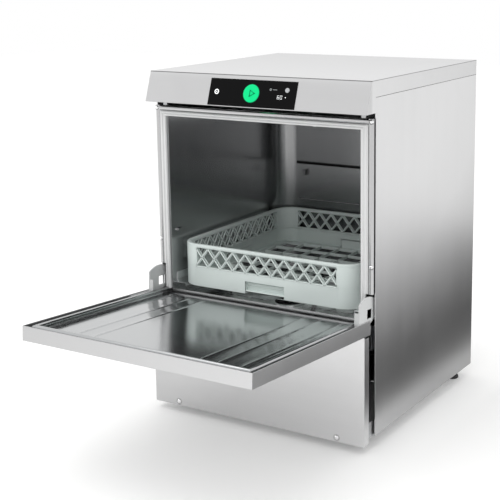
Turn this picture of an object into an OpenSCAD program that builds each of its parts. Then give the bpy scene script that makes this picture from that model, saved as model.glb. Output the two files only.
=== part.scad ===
// Undercounter glass washer with a drop-down door and a square sliding rack.
// Frame: X to the right, -Y to the front, +Z up; the origin lies on the floor,
// under the middle of the cabinet. Everything is drawn with the door open.

/* [Cabinet] */
// Overall width of the cabinet
body_w = 600; // [596:2:760]
// Overall depth of the cabinet
body_d = 614; // [610:2:780]
// Height from the floor to the top of the cover
body_h = 850; // [790:5:1060]
// Height of the side panels' lower edge above the floor
base_z = 31; // [24:1:60]
// Thickness of the stainless steel sheet
sheet = 1.2; // [0.8:0.1:1.6]
// Distance from the front of the cabinet back to the side panels
front_step = 45; // [43:1:60]
// Width of the space between a side panel and the chamber
side_space = 33.6; // [32:0.2:50]
// Width of the space between the rear panel and the chamber
rear_space = 49.6; // [40:0.2:90]
// Radius of the rubber pad of a foot
foot_r = 20; // [12:1:30]

/* [Top cover] */
// Height of the cover's side skirts
skirt_h = 37; // [20:1:60]
// Height of the sloping control fascia
fascia_h = 72; // [60:1:110]
// How far the fascia's lower edge stands forward of its upper edge
fascia_rake = 25; // [10:1:40]
// Depth of the lip folded back under the fascia
fascia_lip = 14; // [6:1:16]

/* [Controls] */
// Width of the control glass
glass_w = 236; // [200:2:300]
// Thickness of the control glass
glass_t = 2.8; // [2:0.1:4]
// Distance from the cover's edge down the slope to the glass
glass_drop = 10.5; // [6:0.5:20]
// Radius of the start button
start_r = 21; // [12:0.5:24]
// Radius of the power button
power_r = 7.5; // [5:0.5:10]
// Radius of the menu button
menu_r = 5.5; // [4:0.5:8]
// Radial gap around a button
button_gap = 0.3; // [0.2:0.05:0.6]
// Travel of a button
button_travel = 1.5; // [1:0.1:2.5]

/* [Front frame and seal] */
// Gap between the fascia and the frame's top rail
frame_drop = 12; // [8:1:20]
// Width of the half-round rail around the frame
rail_w = 13; // [10:0.5:16]
// Height of the half-round rail over the frame
rail_h = 4; // [2:0.25:4.5]
// Width of the seal at the sides of the opening
seal_side = 18; // [14:0.5:22]
// Width of the seal along the top of the opening
seal_top = 12; // [10:0.5:16]
// Radius of the seal's ridges
ridge_r = 2.5; // [1.5:0.1:2.8]

/* [Door] */
// Thickness of the door from its face to its inner bead
door_t = 33; // [28:0.5:38]
// Gap between the door and the cabinet's outline at each side
door_side_gap = 5; // [3:0.5:8]
// Gap between the closed door and the fascia
door_top_gap = 5; // [3:0.5:10]
// Height of the closed door's lower edge above the floor
door_z = 282; // [270:1:300]
// Depth of the liner's pan below its bead
pan_depth = 12; // [10:0.5:15]
// Radius of the bead around the liner
bead_r = 5.5; // [4:0.25:6.5]
// Angle through which the door opens
door_angle = 86.3; // [80:0.1:90]

/* [Hinge] */
// Distance of the hinge axis behind the closed door's face
hinge_in = 18; // [15:0.5:20]
// Distance of the hinge axis above the closed door's lower edge
hinge_up = 14; // [12:0.5:16]
// Radius of the hinge pin
pin_r = 4; // [3:0.25:6]
// Radial clearance of the lever's bore on the pin
pin_gap = 0.05; // [0.02:0.01:0.1]
// Radius of the lever's quarter disc
lever_r = 71; // [66:1:74]
// Thickness of the lever
lever_t = 3; // [2:0.25:4]
// Outer radius of the balance spring
spring_r = 6; // [4:0.5:6]

/* [Chamber and tank] */
// Radius of the chamber's rear corners
corner_r = 60; // [30:1:90]
// Height of the chamber's sill above the floor
sill_z = 306; // [300:1:308]
// Height of the tank's rim above the floor
tank_z = 289; // [284:1:292]
// Depth of the tank below its rim
tank_depth = 84; // [70:1:90]
// Radius of the moulded sump
sump_r = 50; // [46:1:60]

/* [Rack] */
// Length of each side of the rack
rack_w = 500; // [480:5:500]
// Height of the rack
rack_h = 106; // [90:1:160]
// Radius of the rack's corners
rack_corner = 52; // [30:1:60]
// Height of the rack's underside above the floor
rack_z = 318; // [316:0.5:322]
// Height of the solid skirt of the rack
rack_skirt = 50; // [40:1:60]
// Height of the rim above the lattice
rack_rim = 9; // [6:0.5:14]
// Number of diamonds along a side of the rack
rack_cells = 11; // [7:1:15]

/* [Spray arms] */
// Length of a wash arm from its axis
arm_l = 225; // [150:5:230]
// Radius of the spindle inside the wash arms
spindle_r = 12; // [9:0.5:15]
// Radius of the spindle inside the rinse arms
stub_r = 6; // [4:0.5:8]
// Radial running clearance of an arm on its spindle
arm_gap = 0.08; // [0.03:0.01:0.1]

/* [Hidden] */
$fn = 48;
eps = 0.5;
gap = 0.3;
big = 2000;

// cabinet
hw = body_w / 2;
y_front = -body_d / 2;
y_back = body_d / 2;
side_y = y_front + front_step;
side_in = hw - sheet;

// cover and fascia
seam_z = body_h - skirt_h;
fascia_z = body_h - fascia_h;
fascia_y = y_front + fascia_rake;
fascia_tilt = atan(fascia_rake / fascia_h);
fascia_len = norm([fascia_rake, fascia_h]);
glass_end = fascia_len - 2.2;
glass_mid = (glass_drop + glass_end) / 2;
start_at = [-1.5, glass_mid];
power_at = [-glass_w / 2 + 22, glass_mid];
menu_at = [glass_w / 2 - 25, glass_mid - 11.5];
display_at = [glass_w / 2 - 90, glass_w / 2 - 14];

// chamber
wall_x = hw - side_space - 2 * sheet;
rear_y = y_back - rear_space - 2 * sheet;
frame_y = side_y - 6;
frame_t = 1.8;
chamber_y = frame_y + frame_t + 0.2;
arm_y = (chamber_y + rear_y) / 2;

// front frame and seal
frame_top = fascia_z - frame_drop;
frame_x = hw - 2;
rail_x = frame_x - rail_w;
open_x = rail_x - seal_side;
open_z = frame_top - rail_w - seal_top;
ceiling_z = open_z + 4;
screw_r = 5.5;
screw_low_z = door_z + 150;
post_x = wall_x + sheet + 0.8;
post_w = 11;

// door and hinge, in the closed position
door_x = hw - door_side_gap;
door_top = fascia_z - door_top_gap;
bead_y = y_front + door_t;
pan_y = bead_y - pan_depth;
hinge_y = y_front + hinge_in;
hinge_z = door_z + hinge_up;
lever_x = door_x - sheet - 0.6 - lever_t;
flange_w = 10;
groove_w = 13;
bead_x = door_x - groove_w - bead_r - sheet;
slot_x = lever_x - flange_w - 1;
slot_top = hinge_z + lever_r + 2;
bracket_t = 3;
bracket_x = lever_x - 1.2 - bracket_t;
lever_start = 34;
lever_end = -61;
lever_edge = 39;
strap_w = 24;
strap_l = 110;
hook_r = lever_r - 11;
hook_turn = door_angle + lever_end + 8;
hook_y = hinge_y + hook_r * cos(hook_turn);
hook_z = hinge_z + hook_r * sin(hook_turn);
hook_wire = 1.5;
flange_h = 38;
spring_z = base_z + flange_h + 10;

// tank and works below it
floor_z = tank_z - tank_depth;
strainer_z = tank_z - 14;
sump_y = arm_y - 134;
sump_z = base_z + 87;
basket_r = sump_r - 12;
pump_z = base_z + 84;
pump_r = 48;
pump_y = sump_y + sump_r + 15;
pump_l = 42;
motor_r = 43;
motor_l = 135;
feed_r = 14;
feed_z = floor_z - sheet - feed_r - 4.8;
riser_y = rear_y + sheet + feed_r + 3;
top_run_z = ceiling_z + sheet + feed_r + 11;
elbow_r = 20;
boiler_r = 58;
boiler_y = riser_y - 49;
boiler_z = base_z + 62;
boiler_l = 300;
rinse_r = 6;
rinse_x = 60;
drain_r = 12;
drain_x = -170;
drain_z = base_z + 60;

// spray arms
wash_arm_h = 16;
rinse_arm_h = 10;
low_arm_z = tank_z - 7;
high_arm_z = ceiling_z - 31;
rinse_l = arm_l - 12;
low_wash_turn = 25;
low_rinse_turn = 115;
high_wash_turn = 12;
high_rinse_turn = 170;

// rack
rack_y = arm_y;
rail_in = rack_w / 2 - 11;
rail_top = rack_z - gap;
lattice_l = rack_w - 2 * rack_corner + 4;
lattice_z = rack_skirt + 1;
lattice_h = rack_h - rack_rim - lattice_z;
lattice_bar = 3.4;
lattice_t = 3;
rim_w = 11;
notch_w = 110;
notch_h = 31;
notch_d = 14;
floor_w = rack_w - 34;
floor_h = 8;
floor_cells = 8;
wall_t = 3;

steel = "Silver";
bright = "Gainsboro";
dark = "DimGray";
black = "Black";

module box(lo, hi) {
    translate(lo) cube(hi - lo);
}

module on_side(side) {
    mirror([side < 0 ? 1 : 0, 0, 0]) children();
}

module both_sides() {
    for (side = [-1, 1]) on_side(side) children();
}

module along_x(p, r, l) {
    translate(p) rotate([0, 90, 0]) cylinder(r = r, h = l);
}

module along_y(p, r, l) {
    translate(p) rotate([-90, 0, 0]) cylinder(r = r, h = l);
}

module upright(p, r, l) {
    translate(p) cylinder(r = r, h = l);
}

// an outline in the Y-Z plane, drawn between two X values
module yz_plate(x0, x1) {
    translate([x0, 0, 0]) rotate([90, 0, 90]) linear_extrude(x1 - x0) children();
}

// an outline in the X-Z plane, drawn between two Y values
module xz_plate(y0, y1) {
    translate([0, y1, 0]) rotate([90, 0, 0]) linear_extrude(y1 - y0) children();
}

// local X across, Y up the slope and Z out of the fascia
module on_fascia(at, out) {
    translate([0, fascia_y, body_h]) rotate([90 - fascia_tilt, 0, 0])
        translate([at[0], -at[1], out]) children();
}

// turns a door part from its closed place into the open position
module door_open() {
    translate([0, hinge_y, hinge_z]) rotate([door_angle, 0, 0])
        translate([0, -hinge_y, -hinge_z]) children();
}

// a quarter bend of a pipe in the Y-Z plane, from +Y at its low end to +Z at its high end
module bend(p, r, turn) {
    translate(p) rotate([turn, 0, 0]) rotate([0, -90, 0])
        rotate_extrude(angle = 90) translate([elbow_r, 0]) circle(r);
}

// ---------------------------------------------------------------- structure

module base_frame() {
    front = y_front + 2 * sheet;
    inner = hw - 6;
    toe_z = base_z - 12;
    color(steel) difference() {
        union() {
            box([-inner, front, base_z], [inner, y_back - 4, base_z + 1.5]);
            both_sides() box([inner - 1.5, front + 20, base_z], [inner, y_back - 4, base_z + flange_h]);
            box([-inner + 2, front, toe_z], [inner - 2, front + 1.5, base_z + flange_h]);
            box([-inner, y_back - 5.5, base_z], [inner, y_back - 4, base_z + flange_h]);
        }
        foot_places() upright([0, 0, base_z - eps], 6.2, 4);
        panel_screw_places() along_y([0, -eps, 0], 2.1, 6);
        for (x = [-150 : 60 : 150])
            box([x - 20, arm_y + 50, base_z - eps], [x + 20, arm_y + 58, base_z + 2]);
    }
}

module corner_posts() {
    post_top = seam_z - 3;
    color(steel) both_sides() {
        box([post_x, chamber_y, base_z + 1.5], [post_x + post_w, chamber_y + 2, post_top]);
        box([post_x, chamber_y, base_z + 1.5], [post_x + 2, chamber_y + 22, post_top]);
        box([hw - 34, y_back - 8, base_z + 1.5], [hw - 10, y_back - 6, post_top]);
        box([hw - 12, y_back - 30, base_z + 1.5], [hw - 10, y_back - 6, post_top]);
    }
}

module foot_places() {
    both_sides() {
        translate([hw - 68, side_y + 27, 0]) children();
        translate([hw - 38, y_back - 45, 0]) children();
    }
}

module feet() {
    color(black) foot_places() difference() {
        union() {
            upright([0, 0, 0], foot_r, 5);
            translate([0, 0, 5]) cylinder(r1 = foot_r, r2 = foot_r - 5, h = 6);
            upright([0, 0, 11], 12, base_z - 11);
            upright([0, 0, base_z], 6, 16);
        }
        upright([0, 0, base_z - 4], 12.5, 0.6);
    }
}

module side_panel(side) {
    hem = 2 * sheet;
    turn_in = 16;
    color(steel) on_side(side) {
        box([side_in, side_y, base_z], [hw, y_back, seam_z - 0.8]);
        box([hw - hem, side_y, base_z], [side_in, side_y + 10, seam_z - 0.8]);
        box([hw - 5, side_y + 11, base_z], [side_in, y_back - 3, base_z + sheet]);
        box([hw - turn_in, y_back - sheet, base_z], [side_in, y_back, seam_z - 0.8]);
        box([hw - turn_in, side_y + 30, seam_z - 0.8 - sheet], [side_in, y_back - 10, seam_z - 0.8]);
    }
}

module rear_holes() {
    along_y([drain_x, y_back - 10, drain_z], drain_r + 3.3, 20);
    along_y([hw - 100, y_back - 10, base_z + 80], 13.7, 20);
    along_y([hw - 45, y_back - 10, base_z + 55], 10.2, 20);
}

module rear_panel() {
    edge = hw - 16.5;
    vent_w = 60;
    color(steel) difference() {
        union() {
            box([-edge, y_back - sheet, base_z], [edge, y_back, seam_z - 0.8]);
            box([-edge, y_back - 12, seam_z - 0.8 - sheet], [edge, y_back - sheet, seam_z - 0.8]);
        }
        rear_holes();
        for (col = [-1, 0, 1], row = [0 : 5])
            box([col * 90 - vent_w / 2, y_back - 5, base_z + 140 + row * 12],
                [col * 90 + vent_w / 2, y_back + 5, base_z + 145 + row * 12]);
    }
}

// the cover's outline seen from the side
module cover_outline(inset) {
    slope = inset / cos(fascia_tilt);
    polygon([
        [fascia_y + slope - inset * tan(fascia_tilt), body_h - inset],
        [y_front + slope, fascia_z - (inset > 0 ? eps : 0)],
        [side_y + (inset > 0 ? eps : 0), fascia_z - (inset > 0 ? eps : 0)],
        [side_y + (inset > 0 ? eps : 0), seam_z - (inset > 0 ? eps : 0)],
        [y_back - inset, seam_z - (inset > 0 ? eps : 0)],
        [y_back - inset, body_h - inset]
    ]);
}

module top_cover() {
    color(bright) {
        difference() {
            yz_plate(-hw, hw) cover_outline(0);
            yz_plate(-hw + sheet, hw - sheet) cover_outline(sheet);
            on_fascia([0, 0], -10) box([-glass_w / 2 - gap, -glass_end - gap, 0],
                [glass_w / 2 + gap, -glass_drop + gap, 20]);
        }
        box([-side_in, y_front + 1.5 * sheet, fascia_z], [side_in, y_front + fascia_lip, fascia_z + sheet]);
    }
}

// ---------------------------------------------------------------- controls

module control_glass() {
    color(black) difference() {
        on_fascia([0, 0], -glass_t + gap)
            box([-glass_w / 2, -glass_end, 0], [glass_w / 2, -glass_drop, glass_t]);
        on_fascia(start_at, -10) cylinder(r = start_r + button_gap, h = 20);
        on_fascia(power_at, -10) cylinder(r = power_r + button_gap, h = 20);
        on_fascia(menu_at, -10) cylinder(r = menu_r + button_gap, h = 20);
    }
}

module display_module() {
    color("DarkSlateGray") difference() {
        on_fascia([0, 0], -8) union() {
            box([display_at[0], -glass_mid - 20, 0], [display_at[1], -glass_mid + 22, 1.6]);
            box([display_at[0] + 6, -glass_mid - 16, 1.6], [display_at[1] - 6, -glass_mid - 2, 5]);
        }
        on_fascia(menu_at, -12) cylinder(r = menu_r + 1.5, h = 20);
    }
}

module control_board() {
    z = seam_z - 22;
    y = side_y + 4;
    color("DarkGreen") box([-110, y, z], [110, y + 66, z + 1.6]);
    color(black) {
        box([-96, y + 12, z + 1.6], [-60, y + 46, z + 22]);
        for (x = [-40 : 26 : 64]) box([x, y + 10, z + 1.6], [x + 18, y + 26, z + 16]);
        box([-30, y + 36, z + 1.6], [-12, y + 54, z + 4]);
        box([20, y + 44, z + 1.6], [90, y + 56, z + 12]);
    }
}

// a round button with a soft edge that stands a little proud of the glass
module button(at, r) {
    proud = 1.8;
    deep = button_travel + 3.5;
    edge = 1;
    on_fascia(at, 0) rotate_extrude() polygon([
        [0, -deep], [r, -deep], [r, proud - edge],
        [r - edge * 0.3, proud - edge * 0.3], [r - edge, proud], [0, proud]
    ]);
}

module start_button() {
    color("SpringGreen") button(start_at, start_r);
}

module power_button() {
    color("White") button(power_at, power_r);
}

module menu_button() {
    color("White") button(menu_at, menu_r);
}

// ---------------------------------------------------------------- front

module panel_screw_places() {
    for (x = [-1, 1]) translate([x * (hw - 76), y_front, base_z - 3]) children();
}

module lower_front_panel() {
    x = door_x + 0.6;
    low = base_z - 13;
    top = door_z - 3.5;
    back = 22;
    color(steel) difference() {
        union() {
            box([-x, y_front, low], [x, y_front + sheet, top]);
            both_sides() box([x - sheet, y_front, low], [x, y_front + back, door_z - 8.5]);
            box([-x, y_front, low], [x, y_front + 2 * sheet - 0.2, low + 0.8]);
        }
        panel_screw_places() along_y([0, -eps, 0], 2.1, 6);
    }
}

// a pan-head screw pointing along +Y
module pan_screw(r, h, shank_l) {
    rotate([-90, 0, 0]) rotate_extrude() polygon([
        [0, -h], [r * 0.45, -h], [r * 0.8, -h * 0.72], [r, -h * 0.25], [r, 0],
        [2, 0], [2, shank_l], [0, shank_l]
    ]);
}

module panel_screws() {
    color(bright) panel_screw_places() pan_screw(screw_r, 2.2, 10);
}

module frame_screw_places() {
    both_sides() for (z = [frame_top - rail_w / 2, screw_low_z])
        translate([frame_x - rail_w / 2 + 1.5, frame_y, z]) children();
}

// half-round outline of the frame's rail, flat side on the X axis
module rail_outline() {
    r = (pow(rail_w / 2, 2) + pow(rail_h, 2)) / (2 * rail_h);
    intersection() {
        translate([0, rail_h - r]) circle(r);
        translate([-rail_w / 2, -eps]) square([rail_w, rail_h + eps]);
    }
}

module front_frame() {
    low = tank_z - 4;
    mid = frame_x - rail_w / 2;
    color(steel) difference() {
        union() {
            difference() {
                box([-frame_x, frame_y, low], [frame_x, frame_y + frame_t, frame_top]);
                box([-open_x, -big, sill_z], [open_x, big, open_z]);
            }
            both_sides() translate([mid, frame_y, slot_top]) mirror([0, 1, 0])
                linear_extrude(frame_top - slot_top) rail_outline();
            translate([-frame_x, frame_y, frame_top - rail_w / 2]) rotate([90, 0, 90])
                linear_extrude(2 * frame_x) rotate(90) rail_outline();
        }
        both_sides() box([slot_x, -big, -eps], [big, big, slot_top]);
        frame_screw_places() {
            along_y([0, -10, 0], screw_r + 0.1, 10);
            along_y([0, -eps, 0], 2.1, 6);
        }
    }
}

module frame_screws() {
    color(bright) frame_screw_places() pan_screw(screw_r, 5.2, 14);
}

module seal_path(inset, r) {
    x = open_x + inset;
    z = open_z + inset * seal_top / seal_side;
    both_sides() {
        upright([x, frame_y - r, sill_z], r, z - sill_z);
        translate([x, frame_y - r, z]) sphere(r);
    }
    along_x([-x, frame_y - r, z], r, 2 * x);
}

module door_seal() {
    color("WhiteSmoke") {
        difference() {
            box([-rail_x + 0.3, frame_y - 2.4, sill_z], [rail_x - 0.3, frame_y, frame_top - rail_w - 0.3]);
            box([-open_x, -big, -eps], [open_x, big, open_z]);
            both_sides() box([slot_x, -big, -eps], [big, big, slot_top]);
        }
        seal_path(3.4, ridge_r);
        difference() {
            seal_path(12.6, ridge_r);
            both_sides() box([slot_x, -big, -eps], [big, big, slot_top]);
        }
    }
}

module door_switch() {
    color(black) box([150, chamber_y + 0.5, ceiling_z + 4], [190, chamber_y + 12, ceiling_z + 16]);
}

// ---------------------------------------------------------------- chamber and tank

module chamber_plan(inset) {
    x = wall_x + sheet - inset;
    y = rear_y + sheet - inset;
    r = corner_r + sheet - inset;
    front = chamber_y - (inset > 0 ? eps : 0);
    translate([-x, front]) square([2 * x, y - r - front]);
    translate([-x + r, y - r - 1]) square([2 * (x - r), r + 1]);
    for (side = [-1, 1]) translate([side * (x - r), y - r]) circle(r);
}

module wash_chamber() {
    bead = 2.5;
    bead_z = rack_z + 129;
    bead_l = 2 * (wall_x - corner_r);
    color(steel) {
        difference() {
            translate([0, 0, tank_z]) linear_extrude(ceiling_z + sheet - tank_z) chamber_plan(0);
            translate([0, 0, -eps]) linear_extrude(ceiling_z + eps) chamber_plan(sheet);
            translate([0, arm_y, 0]) cylinder(r = spindle_r + 0.1, h = big);
            translate([rinse_x, arm_y, 0]) cylinder(r = rinse_r + 0.1, h = big);
        }
        box([-wall_x, chamber_y, tank_z], [wall_x, chamber_y + sheet, sill_z]);
        difference() {
            along_x([-bead_l / 2, rear_y, bead_z], bead, bead_l);
            box([-big, rear_y, 0], [big, big, big]);
        }
        both_sides()
            box([wall_x - 6, chamber_y + 22, bead_z + 2], [wall_x, chamber_y + 37, bead_z + 8]);
    }
}

module rear_baffle() {
    w = wall_x - corner_r;
    low = open_z - 192;
    y = rear_y - 12;
    color(steel) {
        difference() {
            box([-w, y, low], [w, rear_y, ceiling_z - 2]);
            box([-w + sheet, y + sheet, low - eps], [w - sheet, big, ceiling_z - 2 - sheet]);
        }
        box([-w + 14, rear_y - 4, low - 26], [-w + 30, rear_y, low - 18]);
        box([-w + 20, y, low - 33], [-w + 26, rear_y, low - 26]);
        box([-w + 20, y, low - 26], [-w + 26, y + 2, low - 16]);
    }
}

module rack_rail(side) {
    front = chamber_y + 18;
    color(bright) on_side(side) {
        box([rail_in, front, rail_top - 1.5], [wall_x - 0.2, rear_y - corner_r, rail_top]);
        box([wall_x - 1.7, front, rail_top], [wall_x - 0.2, rear_y - corner_r, rail_top + 26]);
        box([rail_in, front, rail_top - 9], [rail_in + 1.5, rear_y - corner_r, rail_top - 1.5]);
    }
}

module wash_tank() {
    color(steel) difference() {
        translate([0, 0, floor_z - sheet]) linear_extrude(tank_depth + sheet) chamber_plan(0);
        translate([0, 0, floor_z]) linear_extrude(tank_depth + eps) intersection() {
            chamber_plan(sheet);
            translate([-big / 2, chamber_y + sheet]) square(big);
        }
        translate([0, sump_y, 0]) cylinder(r = sump_r - 2, h = big);
        translate([0, arm_y, 0]) cylinder(r = spindle_r + 0.1, h = big);
        translate([rinse_x, arm_y, 0]) cylinder(r = rinse_r + 0.1, h = big);
    }
}

module tank_strainer() {
    slot_l = 34;
    color(bright) difference() {
        translate([0, 0, strainer_z]) linear_extrude(sheet) intersection() {
            chamber_plan(sheet + 1);
            translate([-big / 2, chamber_y + sheet + 1]) square(big);
        }
        translate([0, sump_y, 0]) cylinder(r = basket_r + 1, h = big);
        translate([0, arm_y, 0]) cylinder(r = spindle_r + 8, h = big);
        for (side = [-1, 1], col = [0 : 3], row = [0 : 8])
            box([side * (84 + col * 44) - slot_l / 2, arm_y - 200 + row * 46, strainer_z - eps],
                [side * (84 + col * 44) + slot_l / 2, arm_y - 196 + row * 46, strainer_z + 2]);
    }
}

module filter_basket() {
    top = strainer_z + sheet;
    low = sump_z + 8;
    color(bright) translate([0, sump_y, 0]) difference() {
        union() {
            upright([0, 0, low], basket_r, top - low + 1);
            upright([0, 0, top], basket_r + 6, 2);
        }
        upright([0, 0, low + 2], basket_r - 1.5, 400);
        for (turn = [0 : 30 : 150], row = [0 : 5])
            rotate(turn) box([-big, -3, low + 12 + row * 20], [big, 3, low + 22 + row * 20]);
    }
    color(black) translate([0, sump_y, 0])
        box([-basket_r + 1.5, -4, top - 3], [basket_r - 1.5, 4, top + 2]);
}

module sump() {
    inner = sump_r - 3;
    color(dark) translate([0, sump_y, 0]) difference() {
        union() {
            upright([0, 0, sump_z], sump_r, floor_z - sheet - sump_z);
            upright([0, 0, floor_z - sheet - 4], sump_r + 10, 4);
            along_y([0, 0, pump_z], 20, sump_r + 15);
            rotate(90) along_y([0, 0, drain_z + 22], 14, sump_r + 15);
        }
        upright([0, 0, sump_z + 3], inner, 400);
        along_y([0, 0, pump_z], 17, sump_r + 20);
        rotate(90) along_y([0, 0, drain_z + 22], 11, sump_r + 20);
    }
}

module tank_heater() {
    z = floor_z + 22;
    rod = 4.2;
    x = 150;
    r = 30;
    y0 = arm_y - 90;
    y1 = arm_y + 170;
    color(bright) {
        along_y([x, y0, z], rod, y1 - y0);
        along_y([x + 2 * r, y0, z], rod, y1 - y0);
        translate([x + r, y0, z]) rotate(180) rotate_extrude(angle = 180) translate([r, 0]) circle(rod);
        for (dx = [0, 2 * r]) upright([x + dx, y1, floor_z], rod, 22 + rod);
    }
}

// ---------------------------------------------------------------- spray arms

module lower_spindle() {
    collar_z = low_arm_z - 4;
    color(bright) translate([0, arm_y, 0]) {
        upright([0, 0, feed_z + feed_r], spindle_r, low_arm_z + wash_arm_h + 1.5 - feed_z - feed_r);
        upright([0, 0, collar_z], spindle_r + 6, 3.7);
        upright([0, 0, low_arm_z], stub_r, wash_arm_h + rinse_arm_h + 4);
        upright([0, 0, low_arm_z + wash_arm_h + rinse_arm_h + 3.3], stub_r + 3, 3.2);
    }
}

module upper_spindle() {
    color(bright) translate([0, arm_y, 0]) {
        upright([0, 0, high_arm_z - 1.5], spindle_r, top_run_z - feed_r - high_arm_z + 1.5);
        upright([0, 0, high_arm_z + wash_arm_h + 0.3], spindle_r + 6, 3.7);
        upright([0, 0, high_arm_z - rinse_arm_h - 4], stub_r, rinse_arm_h + 4);
        upright([0, 0, high_arm_z - rinse_arm_h - 6.5], stub_r + 3, 3.2);
    }
}

// a hollow-looking blade pair with a bored hub and spray holes on one face
module spray_arm(l, w, h, hub_r, bore_r, holes, hole_r) {
    difference() {
        union() {
            cylinder(r = hub_r, h = h);
            translate([0, 0, h / 2]) cube([2 * l - w, w, h - 3], center = true);
            for (end = [-1, 1]) translate([end * (l - w / 2), 0, 1.5]) cylinder(r = w / 2, h = h - 3);
        }
        translate([0, 0, -eps]) cylinder(r = bore_r, h = h + 2 * eps);
        for (end = [-1, 1], i = [1 : holes])
            translate([end * (hub_r + i * (l - hub_r - 12) / holes), 0, h - 4])
                cylinder(r = hole_r, h = 5);
    }
}

module lower_wash_arm() {
    color(bright) translate([0, arm_y, low_arm_z]) rotate(low_wash_turn)
        spray_arm(arm_l, 24, wash_arm_h, 24, spindle_r + arm_gap, 6, 2.5);
}

module lower_rinse_arm() {
    color(bright) translate([0, arm_y, low_arm_z + wash_arm_h + 3]) rotate(low_rinse_turn)
        spray_arm(rinse_l, 12, rinse_arm_h, 13, stub_r + arm_gap, 7, 1);
}

module upper_wash_arm() {
    color(bright) translate([0, arm_y, high_arm_z + wash_arm_h]) rotate([180, 0, high_wash_turn])
        spray_arm(arm_l, 24, wash_arm_h, 24, spindle_r + arm_gap, 6, 2.5);
}

module upper_rinse_arm() {
    color(bright) translate([0, arm_y, high_arm_z - 3]) rotate([180, 0, high_rinse_turn])
        spray_arm(rinse_l, 12, rinse_arm_h, 13, stub_r + arm_gap, 7, 1);
}

// ---------------------------------------------------------------- water works

module wash_pump_volute() {
    color(dark) difference() {
        union() {
            along_y([0, pump_y, pump_z], pump_r, pump_l);
            upright([0, pump_y + pump_l / 2, pump_z], feed_r + 3, feed_z - pump_z - elbow_r);
        }
        along_y([0, pump_y + 4, pump_z], pump_r - 5, pump_l - 8);
        along_y([0, pump_y - eps, pump_z], 17, 10);
        along_y([0, pump_y + 20, pump_z], 8, 40);
    }
}

module wash_pump_motor() {
    y = pump_y + pump_l;
    fins = 16;
    color("SteelBlue") {
        difference() {
            union() {
                along_y([0, y, pump_z], motor_r, motor_l);
                for (turn = [0 : 360 / fins : 359])
                    translate([0, y + 12, pump_z]) rotate([0, turn, 0])
                        box([-1, 0, motor_r - 1], [1, motor_l - 40, motor_r + 4]);
            }
            along_y([0, y - eps, pump_z], 8, motor_l - 20);
        }
        box([-36, y + 20, base_z + 1.5], [36, y + 90, base_z + 8]);
        for (x = [-30, 22]) box([x, y + 20, base_z + 8], [x + 8, y + 90, pump_z - motor_r + 14]);
    }
}

module pump_impeller() {
    blades = 6;
    color("Khaki") translate([0, pump_y + 10, pump_z]) {
        along_y([0, 0, 0], 40, 3);
        along_y([0, 0, 0], 7, motor_l);
        for (turn = [0 : 360 / blades : 359])
            rotate([0, turn, 0]) box([-1.5, 3, 10], [1.5, 18, 40]);
    }
}

module wash_riser() {
    color(dark) {
        bend([0, pump_y + pump_l / 2 + elbow_r, feed_z - elbow_r], feed_r, 90);
        along_y([0, pump_y + pump_l / 2 + elbow_r, feed_z], feed_r,
            riser_y - elbow_r - pump_y - pump_l / 2 - elbow_r);
        bend([0, riser_y - elbow_r, feed_z + elbow_r], feed_r, -90);
        upright([0, riser_y, feed_z + elbow_r], feed_r, top_run_z - feed_z - 2 * elbow_r);
        bend([0, riser_y - elbow_r, top_run_z - elbow_r], feed_r, 0);
        along_y([0, arm_y - feed_r, top_run_z], feed_r, riser_y - elbow_r - arm_y + feed_r);
    }
}

module rinse_pipe() {
    y = boiler_y + 49;
    z = ceiling_z + sheet + rinse_r + 4;
    color("Chocolate") {
        upright([-rinse_x, y, boiler_z + 48], rinse_r, z - elbow_r - boiler_z - 48);
        bend([-rinse_x, y - elbow_r, z - elbow_r], rinse_r, 0);
        along_y([-rinse_x, arm_y, z], rinse_r, y - elbow_r - arm_y);
        translate([-rinse_x, arm_y, z]) sphere(rinse_r);
        along_x([-rinse_x, arm_y, z], rinse_r, rinse_x - spindle_r - 0.2);
    }
}

module boiler() {
    color(bright) difference() {
        union() {
            along_x([-boiler_l / 2, boiler_y, boiler_z], boiler_r, boiler_l);
            upright([-rinse_x, boiler_y + 49, boiler_z + 20], 9, 28);
            for (x = [-100, 90])
                box([x, boiler_y - 30, base_z + 1.5], [x + 10, boiler_y + 30, boiler_z - 40]);
        }
        along_x([-boiler_l / 2 + 2, boiler_y, boiler_z], boiler_r - 2, boiler_l - 4);
    }
}

module boiler_heater() {
    x = boiler_l / 2;
    color("Goldenrod") {
        translate([x, boiler_y, boiler_z]) rotate([0, 90, 0]) cylinder(r = 26, h = 8, $fn = 6);
        for (turn = [0 : 120 : 240]) translate([x, boiler_y, boiler_z]) rotate([turn, 0, 0])
            along_x([8, 0, 12], 2, 14);
    }
}

module drain_pump() {
    x = -sump_r - 15;
    z = drain_z + 22;
    color(dark) {
        difference() {
            along_x([x - 38, sump_y, z], 30, 38);
            along_x([x - 30, sump_y, z], 27, 26);
            along_x([x - 10, sump_y, z], 11, 20);
        }
        along_x([x - 78, sump_y, z], 22, 40);
        along_y([x - 19, sump_y, z - 22], 8, 60);
    }
}

module drain_hose() {
    y = sump_y + 60;
    color(black) {
        along_x([drain_x, y + 12, drain_z], 9, -sump_r - 34 - drain_x);
        along_y([-sump_r - 34, y, drain_z], 9, 12);
        translate([-sump_r - 34, y + 12, drain_z]) sphere(9);
        translate([drain_x, y + 12, drain_z]) sphere(9);
        along_y([drain_x, y + 12, drain_z], 9, y_back - 30 - y - 12);
    }
}

module drain_outlet() {
    color(dark) difference() {
        union() {
            along_y([drain_x, y_back - 30, drain_z], drain_r, 58);
            along_y([drain_x, y_back - 5.4, drain_z], drain_r + 3, 8);
            along_y([drain_x, y_back, drain_z], drain_r + 8, 3);
        }
        along_y([drain_x, y_back - 20, drain_z], drain_r - 3, 60);
    }
}

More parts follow.
